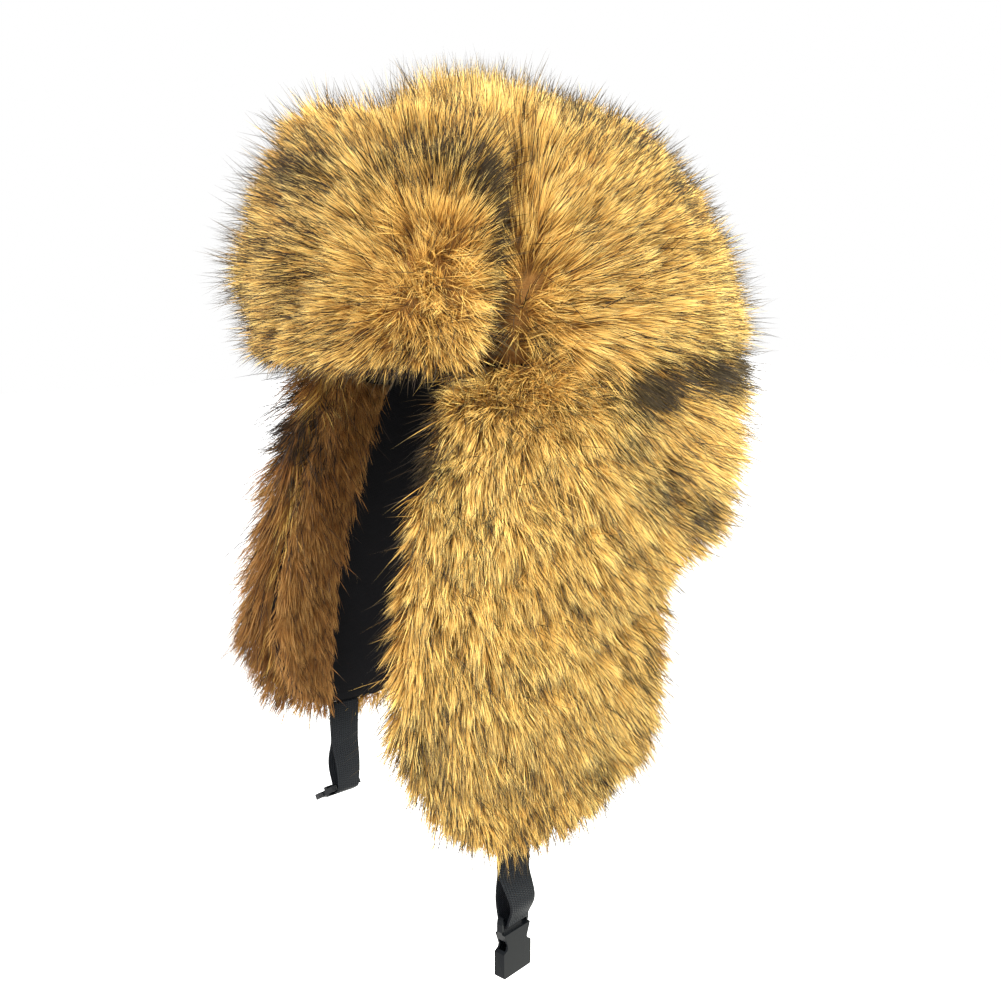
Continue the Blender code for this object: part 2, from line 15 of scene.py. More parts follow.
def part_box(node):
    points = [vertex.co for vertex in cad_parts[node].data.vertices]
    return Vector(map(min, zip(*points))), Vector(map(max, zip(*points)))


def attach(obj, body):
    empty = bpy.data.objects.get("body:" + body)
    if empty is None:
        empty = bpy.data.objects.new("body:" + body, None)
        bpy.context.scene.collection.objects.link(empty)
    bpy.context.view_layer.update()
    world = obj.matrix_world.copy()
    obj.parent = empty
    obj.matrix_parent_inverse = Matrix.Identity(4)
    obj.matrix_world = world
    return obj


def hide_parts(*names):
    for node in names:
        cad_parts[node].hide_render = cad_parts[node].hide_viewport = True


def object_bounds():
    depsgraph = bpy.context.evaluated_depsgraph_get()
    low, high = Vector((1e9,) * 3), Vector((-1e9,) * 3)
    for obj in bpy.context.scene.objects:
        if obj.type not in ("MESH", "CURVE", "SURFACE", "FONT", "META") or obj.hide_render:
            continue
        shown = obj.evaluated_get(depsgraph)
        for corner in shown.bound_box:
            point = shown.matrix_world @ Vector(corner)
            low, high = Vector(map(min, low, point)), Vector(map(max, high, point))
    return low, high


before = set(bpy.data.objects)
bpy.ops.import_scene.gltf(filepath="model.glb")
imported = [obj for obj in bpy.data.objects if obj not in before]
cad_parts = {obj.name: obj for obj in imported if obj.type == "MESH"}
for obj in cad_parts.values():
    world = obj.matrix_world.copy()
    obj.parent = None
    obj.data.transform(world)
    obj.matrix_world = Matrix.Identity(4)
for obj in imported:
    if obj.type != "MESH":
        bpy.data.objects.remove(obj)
CAD_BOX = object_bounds()

# View: the picture is square, and its focal length is given in its own pixels
IMAGE_PIXELS = 1001
FOCAL_PIXELS = 1200
SENSOR = 36.0
VIEW_AZIMUTH = 58.0
VIEW_ELEVATION = 11.08
VIEW_TARGET = Vector((-0.0279, 0.0, -0.0906))
VIEW_DISTANCE = 0.7236

# Light: name, place to the right, up and back as the camera sees it, size, power, colour
LIGHTS = (
    ("key", (1.00, 0.50, 0.55), 0.45, 32.0, (1.0, 1.0, 0.86)),
    ("fill", (-0.60, 0.40, 1.0), 0.7, 21.0, (1.0, 0.97, 0.95)),
)
SHOWN_WHITE = 1.0
WORLD_LIGHT = 1.0
FLOOR_HALF = 8.0
FLOOR_LEVEL = -0.80

# Head form, read from the crown's shell
SHELL_WALL = 0.003
CROWN_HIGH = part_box("crown_shell")[1]
HEAD_HALF_WIDTH = CROWN_HIGH.x - SHELL_WALL
HEAD_HALF_LENGTH = CROWN_HIGH.y - SHELL_WALL
HEAD_HEIGHT = CROWN_HIGH.z - SHELL_WALL
DOME_POWER = 2.35

# Flaps
EAR_FRONT_ANGLE = 46.0
SEAM_ANGLE = 96.8
EAR_EDGE_DROP = 0.165
EAR_MIDDLE_DROP = 0.226
NECK_DROP = 0.112
NECK_TUCK = 0.010
FRONT_FLAP_ANGLE = 44.4
FRONT_FLAP_TOP_RISE = 42.0
FRONT_FLAP_STANDOFF = 0.0078
FRONT_FLAP_HANG = 0.002
EAR_LEVELS = (
    # depth, front edge forward, back edge forward, front edge out, back edge out
    (0.000, 0.000, 0.000, 0.000, 0.000),
    (0.050, 0.026, 0.000, 0.012, 0.001),
    (0.112, 0.045, 0.000, 0.024, 0.004),
    (0.155, 0.052, 0.004, 0.031, 0.008),
    (0.226, 0.052, 0.016, 0.036, 0.015),
)

# Underfur: its thickness over the cloth, and how far it swells past a free edge
UNDERFUR = 0.0115
THIN_UNDERFUR = 0.003
FRONT_UNDERFUR = 0.037
FRONT_END_UNDERFUR = 0.027
EDGE_SWELL = 0.008
FRONT_SWELL = 0.012
NECK_SWELL = 0.002
NECK_FUR_DOWN = 0.84
TRIM_UNDERFUR = 0.006
LUMP_HEIGHT = 0.0016
TRIM_LUMP_HEIGHT = 0.0008
FUR_GAP = 0.0004
DOME_COLUMNS = 120
TRIM_COLUMNS = 8
TRIM_FIRST_ROW = 4

# Straps, as the hat's own are laid out
WEBBING = 0.0013
WEBBING_RIBS = 13.0
WEBBING_THREADS = 620.0
STRAP_TOP_WIDTH = 0.020
STRAP_END_WIDTH = 0.0165
STRAP_BULGE = 0.0050
BACK_BULGE_SHARE = 0.4
STRAP_SHARE = 0.44
STRAP_INSET = 0.0010
STRAP_HIDDEN = 0.026
STRAP_GAP = 0.0001
LOOP_RADIUS = 0.0030
LEFT_STRAP = 0.052
RIGHT_STRAP = 0.058
LEFT_TURN = 17.0
RIGHT_TURN = 10.0

# Fur
FUR_SEED = 23
ROOT_DEPTH = 0.0015
PROUD_LENGTH = 0.0088


def ease(low, high, value):
    share = np.clip((value - low) / (high - low), 0.0, 1.0)
    return share * share * (3.0 - 2.0 * share)


def mix(a, b, share):
    return a + (b - a) * share


def unit(vectors):
    return vectors / np.maximum(np.linalg.norm(vectors, axis=-1, keepdims=True), 1e-9)


def dot(a, b):
    return (a * b).sum(axis=-1, keepdims=True)


# Surfaces of the hat


def level_value(depth, column):
    """One column of the ear flap's table at one depth, with an eased slope between its rows."""
    last = len(EAR_LEVELS) - 1
    row = next((i for i in range(last) if depth <= EAR_LEVELS[i + 1][0]), last - 1)
    before, low, high, after = (EAR_LEVELS[min(max(row + k, 0), last)] for k in (-1, 0, 1, 2))
    span = high[0] - low[0]
    share = min((depth - low[0]) / span, 1.3)
    slope_low = (high[column] - before[column]) / (high[0] - before[0]) * span
    slope_high = (after[column] - low[column]) / (after[0] - low[0]) * span
    square = share * share
    cube = square * share
    value = (2 * cube - 3 * square + 1) * low[column] + (3 * square - 2 * cube) * high[column]
    value += (cube - 2 * square + share) * slope_low + (cube - square) * slope_high
    return max(value, 0.0)


along = np.vectorize(level_value, otypes=[float])


def dome_place(angle, rise, height):
    """A point over the crown's cloth."""
    turn = np.radians(angle)
    tilt = np.radians(rise)
    level = np.maximum(np.cos(tilt), 0.0) ** (2 / DOME_POWER)
    up = np.sin(tilt) ** (2 / DOME_POWER)
    grow = SHELL_WALL + height
    return np.stack((
        (HEAD_HALF_WIDTH + grow) * level * np.sin(turn),
        -(HEAD_HALF_LENGTH + grow) * level * np.cos(turn),
        (HEAD_HEIGHT + grow) * up,
    ), axis=-1)


def front_place(angle, rise, height):
    """A point over the cloth of the turned-up front flap."""
    return dome_place(angle, rise, height + FRONT_FLAP_STANDOFF)


def ear_drop(across):
    rounding = np.maximum(1 - np.abs(2 * across - 1) ** 3, 0.0) ** 0.7
    return mix(EAR_EDGE_DROP, EAR_MIDDLE_DROP, rounding)


def ear_place(side):
    """Over an ear flap's cloth: across from its front edge to its back edge, down from the rim."""
    def place(across, down, height):
        angle = np.radians(mix(EAR_FRONT_ANGLE, SEAM_ANGLE, across))
        depth = down * ear_drop(across)
        forward = mix(along(depth, 1), along(depth, 2), across)
        out = mix(along(depth, 3), along(depth, 4), across)
        grow = SHELL_WALL + height
        return np.stack((
            side * ((HEAD_HALF_WIDTH + grow) * np.sin(angle) + out),
            -(HEAD_HALF_LENGTH + grow) * np.cos(angle) - forward,
            -depth,
        ), axis=-1)
    return place


def neck_place(across, down, height):
    """Over the neck flap's cloth, from the left seam round the back to the right seam."""
    angle = np.radians(mix(SEAM_ANGLE, 360 - SEAM_ANGLE, across))
    depth = down * NECK_DROP
    seam = np.abs(2 * across - 1) ** 3
    out = seam * along(depth, 4)
    grow = SHELL_WALL + height - (1 - seam) * NECK_TUCK * down * down
    return np.stack((
        (HEAD_HALF_WIDTH + grow) * np.sin(angle) + np.copysign(out, np.sin(angle)),
        -(HEAD_HALF_LENGTH + grow) * np.cos(angle),
        -depth,
    ), axis=-1)


# Closed bodies over a grid


def border(columns, rows):
    """Row and column of each border vertex of a grid, in order round it."""
    top = [(0, c) for c in range(columns)]
    right = [(r, columns - 1) for r in range(1, rows)]
    bottom = [(rows - 1, c) for c in range(columns - 2, -1, -1)]
    left = [(r, 0) for r in range(rows - 2, 0, -1)]
    return np.array(top + right + bottom + left)


def outward(grid, sides):
    """Direction out of a grid's free edges in the plane of the sheet, 0 elsewhere."""
    total = np.zeros_like(grid)
    if "first_column" in sides:
        total[:, 0] += unit(grid[:, 0] - grid[:, 1])
    if "last_column" in sides:
        total[:, -1] += unit(grid[:, -1] - grid[:, -2])
    if "first_row" in sides:
        total[0] += unit(grid[0] - grid[1])
    if "last_row" in sides:
        total[-1] += unit(grid[-1] - grid[-2])
    return unit(total)


def grid_quads(rows, columns, first):
    index = first + np.arange(rows * columns).reshape(rows, columns)
    corners = (index[:-1, :-1], index[:-1, 1:], index[1:, 1:], index[1:, :-1])
    return np.stack(corners, axis=-1).reshape(-1, 4)


def lumps(points, chance, size=0.020, waves=14):
    """A smooth random height from about -1 to 1, with lumps of about this size."""
    directions = unit(chance.normal(size=(waves, 3)))
    turns = 2 * math.pi / (size * chance.uniform(0.8, 1.9, waves))
    phases = chance.uniform(0, 2 * math.pi, waves)
    return np.sin(points @ (directions * turns[:, None]).T + phases).sum(axis=-1) / math.sqrt(waves / 2)


WRAP_TURNS = np.radians((30, 60, 90, 120, 150))


def pad(place, across, down, low, high, swell=0.0, free=(), keep=None, lump=0.0, chance=None):
    """A closed body between two heights over a sheet, swelling round past the sheet's free edges.

    Returns its points, its quads, and for each quad how much fur grows on it.
    """
    a, d = np.meshgrid(across, down)
    base = place(a, d, low)
    top = place(a, d, high)
    rows, columns = a.shape
    ring = border(columns, rows)
    r, c = ring[:, 0], ring[:, 1]
    free_out = outward(base, free)[r, c]
    edge_swell = swell(base[r, c])[:, None] if callable(swell) else swell
    if lump:
        top = top + unit(top - base) * (lumps(top, chance) * lump)[..., None]
    wraps = []
    for turn in WRAP_TURNS:
        level = 0.5 + 0.5 * math.cos(turn)
        wraps.append(mix(base[r, c], top[r, c], level) + free_out * edge_swell * math.sin(turn))
    points = np.concatenate([top.reshape(-1, 3), base.reshape(-1, 3), *wraps])
    size = rows * columns
    count = len(ring)
    loops = [r * columns + c]
    loops += [2 * size + k * count + np.arange(count) for k in range(len(wraps))]
    loops.append(size + r * columns + c)
    quads = [grid_quads(rows, columns, 0), grid_quads(rows, columns, size)[:, ::-1]]
    growth = [np.ones(len(quads[0])), np.zeros(len(quads[1]))]
    bare = (np.linalg.norm(free_out, axis=1) < 0.5).astype(float)
    for level, (first, second) in enumerate(zip(loops, loops[1:])):
        ahead = np.roll(first, -1), np.roll(second, -1)
        quads.append(np.stack((first, second, ahead[1], ahead[0]), axis=-1))
        share = 1.0 if level < 4 else 0.3
        growth.append(share * (1 - np.maximum(bare, np.roll(bare, -1))))
    if keep:
        points = keep(points)
    quads = np.concatenate(quads)
    cross = np.cross(points[quads[:, 2]] - points[quads[:, 0]], points[quads[:, 3]] - points[quads[:, 1]])
    if (cross * points[quads[:, 0]]).sum() < 0:
        quads = quads[:, ::-1]
    return points, quads, np.concatenate(growth)


def dome_pad(low, high, columns, rises, chance=None, lump=0.0):
    """A closed dome-shaped body between two heights, which may depend on angle and rise."""
    angles = np.arange(columns) * 360.0 / columns
    a, d = np.meshgrid(angles, rises)
    base = dome_place(a, d, low(a, d))
    top = dome_place(a, d, high(a, d))
    if lump:
        top = top + unit(top - base) * (lumps(top, chance) * lump)[..., None]
    rows = len(rises)
    size = rows * columns
    points = np.concatenate([top.reshape(-1, 3), base.reshape(-1, 3)])
    index = np.arange(size).reshape(rows, columns)
    ahead = np.roll(index, -1, axis=1)
    outer = np.stack((index[:-1], ahead[:-1], ahead[1:], index[1:]), axis=-1).reshape(-1, 4)
    rim = np.stack((ahead[0], index[0], index[0] + size, ahead[0] + size), axis=-1)
    quads = np.concatenate([outer, outer[:, ::-1] + size, rim])
    growth = np.concatenate([np.ones(len(outer)), np.zeros(len(outer) + len(rim))])
    caps = [index[-1].tolist(), (index[-1][::-1] + size).tolist()]
    return points, quads, growth, caps


def mesh_piece(name, points, quads, material, caps=()):
    data = bpy.data.meshes.new(name)
    data.from_pydata(points.tolist(), [], quads.tolist() + list(caps))
    data.polygons.foreach_set("use_smooth", np.ones(len(data.polygons), dtype=bool))
    data.materials.append(material)
    data.update()
    item = bpy.data.objects.new(name, data)
    bpy.context.scene.collection.objects.link(item)
    return item


def join_hat(piece, slot, *nodes):
    """Makes a piece part of the hat, standing for these nodes."""
    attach(piece, "root")
    if nodes:
        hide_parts(*nodes)
    return piece


# Fur strands


def point_normals(points, quads):
    cross = np.cross(points[quads[:, 2]] - points[quads[:, 0]], points[quads[:, 3]] - points[quads[:, 1]])
    total = np.zeros_like(points)
    for corner in range(4):
        np.add.at(total, quads[:, corner], cross)
    return unit(total)


def scatter(points, quads, growth, count, chance):
    """Random places on a body's furred quads, with the surface's normal at each."""
    normals = point_normals(points, quads)
    halves = np.concatenate([quads[:, [0, 1, 2]], quads[:, [0, 2, 3]]])
    wanted = np.concatenate([growth, growth])
    a, b, c = (points[halves[:, k]] for k in range(3))
    area = np.linalg.norm(np.cross(b - a, c - a), axis=1) * wanted
    chosen = halves[chance.choice(len(halves), size=count, p=area / area.sum())]
    u, v = chance.random(count), chance.random(count)
    over = u + v > 1
    u[over], v[over] = 1 - u[over], 1 - v[over]
    shares = np.stack((1 - u - v, u, v), axis=-1)[..., None]
    return (points[chosen] * shares).sum(axis=1), unit((normals[chosen] * shares).sum(axis=1))


def nearest(points, centres):
    tree = KDTree(len(centres))
    for k, centre in enumerate(centres.tolist()):
        tree.insert(centre, k)
    tree.balance()
    return np.array([tree.find(point)[1] for point in points.tolist()])


def paths(roots, normals, flow, lean, droop, length, shares):
    """Points along each strand, which leaves the skin leaning with the flow and droops over."""
    start = unit(normals + flow * lean[:, None])
    end = unit(normals * (1 - droop[:, None]) + flow * (lean[:, None] + 0.35) + [0.0, 0.0, -0.10])
    bend = end - start
    steps = [roots + (start * t + bend * (t * t / 2)) * length[:, None] for t in shares]
    return np.stack(steps, axis=1)


def strand_mesh(name, lines, sides, widths, tint, material):
    """One narrow blade for each strand, pointed at both ends.

    Its UV map holds the strand's tint and the way along it.
    """
    count, levels, _ = lines.shape
    share = np.linspace(0, 1, levels)
    taper = 1 - 0.35 * np.arange(levels - 2)
    spread = sides[:, None, :] * (widths[:, None, None] / 2) * taper[None, :, None]
    pairs = np.stack((lines[:, 1:-1] - spread, lines[:, 1:-1] + spread), axis=2).reshape(count, -1, 3)
    points = np.concatenate([lines[:, :1], pairs, lines[:, -1:]], axis=1)
    each = points.shape[1]
    faces = [(0, 2, 1)]
    for k in range(levels - 3):
        faces += [(2 * k + 1, 2 * k + 2, 2 * k + 4), (2 * k + 1, 2 * k + 4, 2 * k + 3)]
    faces.append((each - 3, each - 2, each - 1))
    index = (np.array(faces)[None] + (np.arange(count) * each)[:, None, None]).reshape(-1)
    along_strand = np.concatenate([[0.0], np.repeat(share[1:-1], 2), [1.0]])
    across_strand = np.concatenate([[0.0], np.tile([-0.002, 0.002], levels - 2), [0.0]])
    uv = np.empty((count, each, 2))
    uv[..., 0] = tint[:, None] + across_strand
    uv[..., 1] = mix(0.01, 0.99, along_strand)
    triangles = len(index) // 3
    data = bpy.data.meshes.new(name)
    data.vertices.add(count * each)
    data.vertices.foreach_set("co", points.astype(np.float32).ravel())
    data.loops.add(len(index))
    data.loops.foreach_set("vertex_index", index.astype(np.int32))
    data.polygons.add(triangles)
    data.polygons.foreach_set("loop_start", np.arange(0, len(index), 3, dtype=np.int32))
    data.polygons.foreach_set("use_smooth", np.ones(triangles, dtype=bool))
    layer = data.uv_layers.new(name="OFBake")
    layer.data.foreach_set("uv", uv.reshape(-1, 2)[index].astype(np.float32).ravel())
    data.materials.append(material)
    data.update(calc_edges=True)
    item = bpy.data.objects.new(name, data)
    bpy.context.scene.collection.objects.link(item)
    return item


def inside_box(lines, length):
    """How much shorter each strand has to be so that it stays close to the hat's own box."""
    low, high = (np.array(corner) for corner in CAD_BOX)
    low, high = low - PROUD_LENGTH, high + PROUD_LENGTH
    root, tip = lines[:, 0], lines[:, -1]
    reach = tip - root
    with np.errstate(divide="ignore", invalid="ignore"):
        room = np.where(reach > 0, (high - root) / reach, (low - root) / reach)
    room = np.where(np.isfinite(room), room, 1.0)
    return np.clip(room.min(axis=1), 0.2, 1.0)


# The right side has the left side's dark marks and painted crease shade, somewhat paler
MIRROR = np.array((-1.0, 1.0, 1.0))
MIRRORED_DARKNESS = 0.75


def darkness_at(points):
    """How dark the hairs are at these places, from 0 to about 1: the pelt's dark marks, and painted shade
    in the front flap's crease.
    """
    total = np.zeros(len(points))
    for centre, radius, strength in DARK_MARKS_AND_CREASE_SHADE:
        for turn, share in ((1.0, 1.0), (MIRROR, MIRRORED_DARKNESS)):
            offset = (points * turn - np.array(centre)) / np.array(radius)
            total = np.maximum(total, share * strength * np.exp(-(offset * offset).sum(axis=1)))
    return total


# Where the hairs are darker, from the pelt's dark marks and from painted shade in the crease at the front
# flap's near end: centre, radius each way, strength
DARK_MARKS_AND_CREASE_SHADE = (
    # crown, from the front to the back
    ((0.010, -0.020, 0.153), (0.055, 0.045, 0.011), 0.55),
    ((0.050, -0.013, 0.131), (0.010, 0.012, 0.012), 0.45),
    ((0.056, 0.004, 0.126), (0.020, 0.010, 0.012), 0.85),
    ((0.066, 0.030, 0.115), (0.014, 0.012, 0.012), 0.80),
    ((0.078, 0.052, 0.090), (0.016, 0.016, 0.012), 0.95),
    # rim, over the seam between ear flap and neck flap
    ((0.104, 0.006, -0.006), (0.022, 0.026, 0.0095), 1.15),
    ((0.093, 0.052, -0.004), (0.026, 0.026, 0.0100), 1.20),
    ((0.070, 0.088, -0.006), (0.026, 0.022, 0.0095), 1.10),
    # neck flap
    ((0.105, -0.012, -0.030), (0.014, 0.008, 0.016), 0.45),
    ((0.108, 0.012, -0.055), (0.018, 0.012, 0.015), 0.75),
    ((0.090, 0.045, -0.074), (0.020, 0.018, 0.012), 0.80),
    # front flap, upper band, and painted shade in the crease along its near end
    ((0.006, -0.141, 0.090), (0.024, 0.020, 0.013), 0.70),
    ((0.033, -0.134, 0.084), (0.010, 0.014, 0.014), 0.60),
    ((0.062, -0.119, 0.090), (0.009, 0.012, 0.014), 0.85),
    ((0.079, -0.097, 0.094), (0.015, 0.014, 0.012), 0.85),
    ((0.078, -0.080, 0.082), (0.012, 0.010, 0.014), 0.80),
    ((0.084, -0.074, 0.056), (0.018, 0.009, 0.028), 0.80),
    ((0.078, -0.066, 0.016), (0.014, 0.010, 0.014), 0.70),
    ((-0.034, -0.148, 0.060), (0.030, 0.020, 0.045), 0.28),
    # ear flap, front edge and low streaks
    ((0.070, -0.104, -0.030), (0.010, 0.012, 0.034), 1.20),
    ((0.073, -0.134, -0.090), (0.010, 0.012, 0.038), 1.20),
    ((0.109, -0.129, -0.163), (0.010, 0.008, 0.020), 0.55),
    ((0.122, -0.030, -0.196), (0.010, 0.010, 0.016), 0.45),
    ((0.112, -0.003, -0.145), (0.010, 0.008, 0.016), 0.45),
)

# Coats: how many strands and guard hairs, the hair's length and how far it leans with the comb
COATS = {
    "crown": {"coat": 116000, "guard": 14000, "length": 0.0225, "lean": 0.80},
    "front_flap": {"coat": 68000, "guard": 9000, "length": 0.0235, "lean": 0.75},
    "ear_flap_left": {"coat": 90000, "guard": 9500, "length": 0.0225, "lean": 0.95},
    "ear_flap_right": {"coat": 34000, "guard": 5000, "length": 0.0225, "lean": 0.90},
    "neck_flap": {"coat": 30000, "guard": 4000, "length": 0.0225, "lean": 0.85},
    "ear_flap_left_trim": {"coat": 5000, "guard": 900, "length": 0.0140, "lean": 0.80},
    "ear_flap_right_trim": {"coat": 5000, "guard": 900, "length": 0.0140, "lean": 0.80},
}
TUFT_STRANDS = 34
COAT_WIDTH = 0.00047
GUARD_WIDTH = 0.00036
GUARD_LONGER = 1.60
PIECE_STRANDS = 62000

# How hairs vary: calm places are those where the comb gives no direction, as in a whorl
TUFT_LENGTHS = (0.88, 1.12)
TUFT_LEANS = (0.80, 1.25)
TUFT_SHADE_SPREAD = 0.17
TUFT_SHADE_LUMPS = 0.14
TUFT_LUMP_SIZE = 0.05
TUFT_PULLS = (0.10, 0.50)
TUFT_DROOPS = (0.05, 0.40)
TUFT_STRAY = 0.12
TUFT_CALM_STRAY = 0.50
STRAND_LENGTHS = (0.72, 1.12)
STRAND_LEANS = (0.85, 1.15)
STRAND_STRAY = 0.11
STRAND_CALM_STRAY = 0.38
STRAND_SHADE_SPREAD = 0.15
COAT_LEVELS = (0.0, 0.5, 1.0)
COAT_WIDTHS = (0.65, 1.2)
PULL_POWER = 1.4
GUARD_LEVELS = (0.0, 0.38, 0.72, 1.0)
GUARD_WIDTHS = (0.7, 1.25)
GUARD_STRAY = 0.30
GUARD_LEANS = (0.65, 1.70)
GUARD_DROOPS = (0.0, 0.35)
GUARD_REACH_SHARE = 0.75

# Which hairs have dark tips
COAT_DARK_GAIN = 0.95
COAT_TIPPED = 0.10
COAT_TIPPED_GAIN = 1.6
COAT_SLIGHT_ABOVE = 0.76
GUARD_DARK = 0.52
GUARD_TIPPED = 0.88


def tint_of(kind, shade):
    """A strand's place in the colour map: one of four kinds, and its shade within the kind."""
    return (kind + mix(0.04, 0.96, np.clip(shade, 0, 1))) / 4


def full_length(points, normals):
    return np.ones(len(points))


def grow_coat(name, node, body, comb, material, chance, shade=0.0, reach=full_length):
    """Tufted coat strands and longer guard hairs over a body.

    reach(points, normals) is how long the hair is at a place, as a share of the coat's own length.
    """
    coat = COATS[name]
    points, quads, growth = body[:3]
    centres, centre_normals = scatter(points, quads, growth, coat["coat"] // TUFT_STRANDS, chance)
    tuft_length = coat["length"] * chance.uniform(*TUFT_LENGTHS, len(centres))
    tuft_length = tuft_length * reach(centres, centre_normals)
    tuft_lean = coat["lean"] * chance.uniform(*TUFT_LEANS, len(centres))
    tuft_shade = 0.5 + TUFT_SHADE_SPREAD * chance.normal(size=len(centres))
    tuft_shade = tuft_shade + TUFT_SHADE_LUMPS * lumps(centres, chance, TUFT_LUMP_SIZE)
    tuft_pull = chance.uniform(*TUFT_PULLS, len(centres))
    tuft_droop = chance.uniform(*TUFT_DROOPS, len(centres))
    tuft_flow = flow_along(centres, centre_normals, comb)
    tuft_calm = 1 - np.minimum(np.linalg.norm(tuft_flow, axis=1, keepdims=True), 1)
    tuft_flow += chance.normal(size=(len(centres), 3)) * (TUFT_STRAY + TUFT_CALM_STRAY * tuft_calm)
    tuft_root = centres - centre_normals * ROOT_DEPTH
    levels = np.array(COAT_LEVELS)
    tuft_lines = paths(tuft_root, centre_normals, tuft_flow, tuft_lean, tuft_droop, tuft_length, levels)

    roots, normals = scatter(points, quads, growth, coat["coat"], chance)
    tuft = nearest(roots, centres)
    own = chance.normal(size=(len(roots), 3)) * (STRAND_STRAY + STRAND_CALM_STRAY * tuft_calm[tuft])
    flow = tuft_flow[tuft] + own
    length = tuft_length[tuft] * chance.uniform(*STRAND_LENGTHS, len(roots))
    lean = tuft_lean[tuft] * chance.uniform(*STRAND_LEANS, len(roots))
    droop = tuft_droop[tuft]
    lines = paths(roots - normals * ROOT_DEPTH, normals, flow, lean, droop, length, levels)
    pull = tuft_pull[tuft][:, None] * levels[None] ** PULL_POWER
    ratio = (length / tuft_length[tuft])[:, None, None]
    target = tuft_root[tuft][:, None] + (tuft_lines[tuft] - tuft_root[tuft][:, None]) * ratio
    lines = mix(lines, target, pull[..., None])
    lines = mix(lines[:, :1], lines, inside_box(lines, length)[:, None, None])
    dark = darkness_at(roots)
    # shade lifts or lowers all of a part's hairs: painted light on the parts facing the key light, painted
    # shade on the far ear flap
    shades = np.clip(tuft_shade[tuft] + STRAND_SHADE_SPREAD * chance.normal(size=len(roots)) + shade, 0, 1)
    draw = chance.random(len(roots))
    plain = np.where(draw > COAT_SLIGHT_ABOVE, 1, 0)
    tipped = draw < COAT_TIPPED + dark * COAT_TIPPED_GAIN
    kind = np.where(draw < dark * COAT_DARK_GAIN, 3, np.where(tipped, 2, plain))
    widths = COAT_WIDTH * chance.uniform(*COAT_WIDTHS, len(roots))
    pieces = ribbons(name + "_coat", lines, normals, widths, tint_of(kind, shades), material, chance)

    roots, normals = scatter(points, quads, growth, coat["guard"], chance)
    flow = flow_along(roots, normals, comb) + chance.normal(size=(len(roots), 3)) * GUARD_STRAY
    length = coat["length"] * GUARD_LONGER * chance.uniform(*STRAND_LENGTHS, len(roots))
    length = length * mix(1.0, reach(roots, normals), GUARD_REACH_SHARE)
    lean = coat["lean"] * chance.uniform(*GUARD_LEANS, len(roots))
    droop = chance.uniform(*GUARD_DROOPS, len(roots))
    levels = np.array(GUARD_LEVELS)
    lines = paths(roots - normals * ROOT_DEPTH, normals, flow, lean, droop, length, levels)
    lines = mix(lines[:, :1], lines, inside_box(lines, length)[:, None, None])
    dark = darkness_at(roots)
    draw = chance.random(len(roots))
    kind = np.where(draw < GUARD_DARK + dark, 3, np.where(draw < GUARD_TIPPED + dark, 2, 1))
    widths = GUARD_WIDTH * chance.uniform(*GUARD_WIDTHS, len(roots))
    shades = chance.random(len(roots))
    pieces += ribbons(name + "_guard_hair", lines, normals, widths, tint_of(kind, shades), material, chance)
    for piece in pieces:
        join_hat(piece, "long_fur", node)


def flow_along(points, normals, comb):
    """The comb's direction laid into the surface, at most 1 long."""
    flow = comb(points)
    flow = flow - normals * dot(flow, normals)
    return flow / np.maximum(np.linalg.norm(flow, axis=-1, keepdims=True), 1.0)


def ribbons(name, lines, normals, widths, tint, material, chance):
    """Strand meshes whose faces look outwards.

    Where material is a pair, hairs that look forward get the second one, the fur in painted shade.
    """
    if not isinstance(material, tuple):
        return strand_pieces(name, lines, normals, widths, tint, material, chance)
    # hairs that look forward take the fur in painted shade
    forward = ease(0.15, 0.60, -normals[:, 1]) > chance.random(len(lines))
    made = []
    for label, one, chosen in ((name, material[0], ~forward), (name + "_front", material[1], forward)):
        rows = (values[chosen] for values in (lines, normals, widths, tint))
        made += strand_pieces(label, *rows, one, chance)
    return made


def strand_pieces(name, lines, normals, widths, tint, material, chance):
    """Strand meshes of one material, split where one would hold too many."""
    along_line = unit(lines[:, -1] - lines[:, 0])
    facing = unit(normals + chance.normal(size=normals.shape) * 0.35)
    sides = unit(np.cross(along_line, facing))
    count = max(1, math.ceil(len(lines) / PIECE_STRANDS))
    made = []
    for k, part in enumerate(np.array_split(np.arange(len(lines)), count)):
        label = name if count == 1 else f"{name}_{k + 1}"
        made.append(strand_mesh(label, lines[part], sides[part], widths[part], tint[part], material))
    return made


# Combing: which way the fur lies


CROWN_WHORL = np.array((0.084, -0.062, 0.026))
FRONT_WHORL = np.array((0.083, -0.107, 0.036))
EAR_WHORL = np.array((0.098, -0.052, 0.004))


def from_whorl(points, whorl, calm):
    """Directions out of a whorl, which are weak within the calm distance round it."""
    away = points - whorl
    distance = np.linalg.norm(away, axis=1, keepdims=True)
    return away / np.maximum(distance, 1e-6) * ease(0.0, calm, distance)


def crown_comb(points):
    """Away from both temples, so that the fur runs up and back over the crown."""
    left = from_whorl(points, CROWN_WHORL, 0.040)
    right = from_whorl(points, CROWN_WHORL * MIRROR, 0.040)
    return mix(right, left, ease(-0.035, 0.035, points[:, :1])) + [0.0, 0.12, 0.0]


def front_comb(points):
    return from_whorl(points, FRONT_WHORL, 0.045)


def ear_comb(side):
    whorl = EAR_WHORL * (side, 1.0, 1.0)

    def comb(points):
        distance = np.linalg.norm(points - whorl, axis=1, keepdims=True)
        return unit(points - whorl + [0.0, 0.0, -0.060]) * ease(0.0, 0.050, distance)
    return comb


def neck_comb(points):
    """Back from the seams, then down."""
    left = points - EAR_WHORL
    right = points - EAR_WHORL * MIRROR
    return unit(mix(right, left, ease(-0.03, 0.03, points[:, :1])) + [0.0, 0.02, -0.05])


# Hair length over each part, as a share of its coat's length


def crown_reach(points, normals):
    """Longest at the top in front, and shorter over the back of the head."""
    back = ease(-0.05, 0.01, points[:, 1]) * ease(0.02, 0.08, points[:, 2])
    front = ease(-0.02, -0.06, points[:, 1]) * ease(0.08, 0.13, points[:, 2])
    return 1 - 0.50 * back + 0.55 * front


